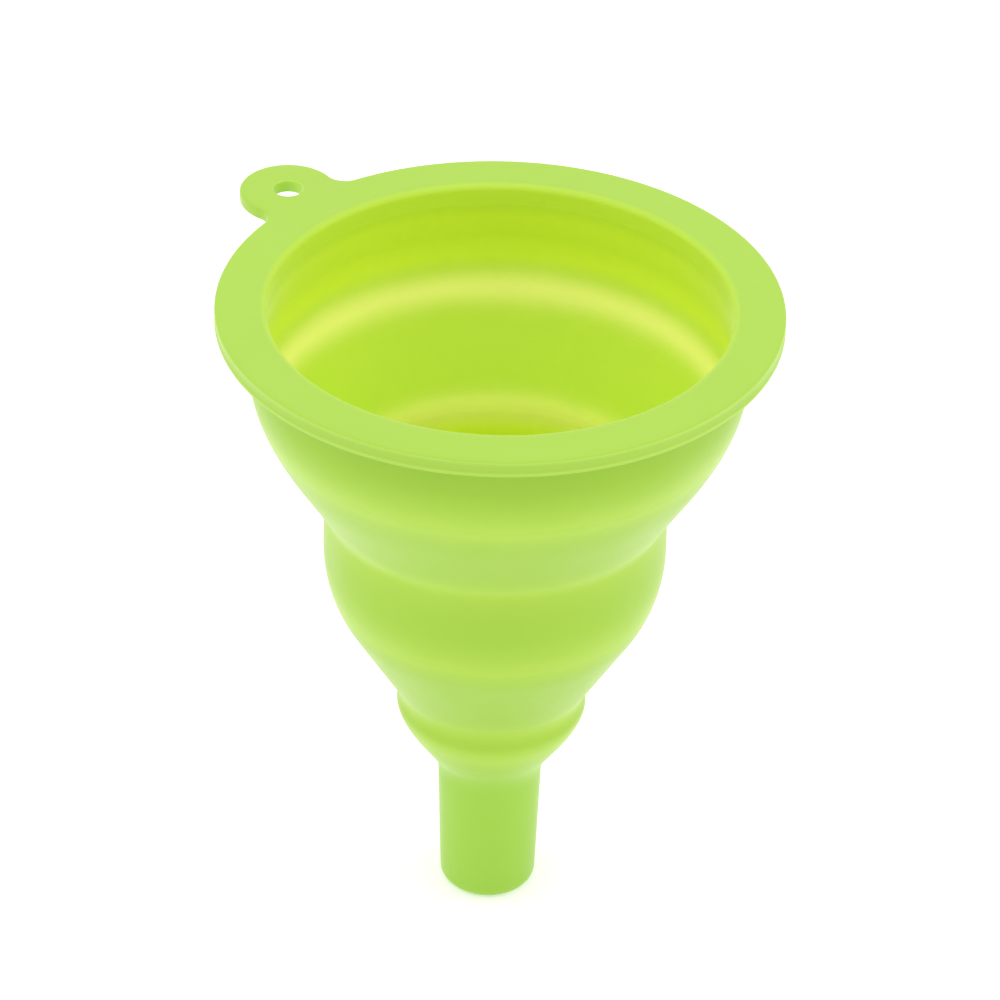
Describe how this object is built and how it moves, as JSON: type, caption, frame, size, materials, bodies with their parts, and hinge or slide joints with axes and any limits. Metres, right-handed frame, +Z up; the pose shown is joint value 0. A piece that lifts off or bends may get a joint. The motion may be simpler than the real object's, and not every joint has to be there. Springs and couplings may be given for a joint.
{
  "type": "collapsible funnel",
  "caption": "Collapsible soft silicone funnel with a flat rim, a hanging tab, stepped folding walls and a narrow round spout.",
  "frame": {"origin": "on the funnel's axis, in the plane where the shoulder above the spout meets the spout, where a bottle's mouth stops the funnel", "axes": "+Z up along the axis from the spout to the mouth; +Y from the axis towards the hanging tab"},
  "size_m": [0.08, 0.0906, 0.1008],
  "materials": {
    "silicone": "matt lime-green silicone, slightly translucent, with a faint mould texture"
  },
  "bodies": {
    "spout_body": {"spout_tube": "silicone"},
    "lower_ring": {"lower_band": "silicone", "lower_fold": "silicone"},
    "middle_ring": {"middle_band": "silicone", "middle_fold": "silicone"},
    "mouth": {"rim_ring": "silicone", "hang_tab": "silicone", "upper_band": "silicone", "upper_fold": "silicone"}
  },
  "joints": [
    {"name": "collapse_lower", "type": "slide", "parent": "spout_body", "child": "lower_ring", "axis": [0, 0, -1], "range_m": [0, 0.0125], "deforming": ["lower_fold"]},
    {"name": "collapse_middle", "type": "slide", "parent": "lower_ring", "child": "middle_ring", "axis": [0, 0, -1], "range_m": [0, 0.0325], "deforming": ["middle_fold"]},
    {"name": "collapse_upper", "type": "slide", "parent": "middle_ring", "child": "mouth", "axis": [0, 0, -1], "range_m": [0, 0.032], "deforming": ["upper_fold"]}
  ]
}
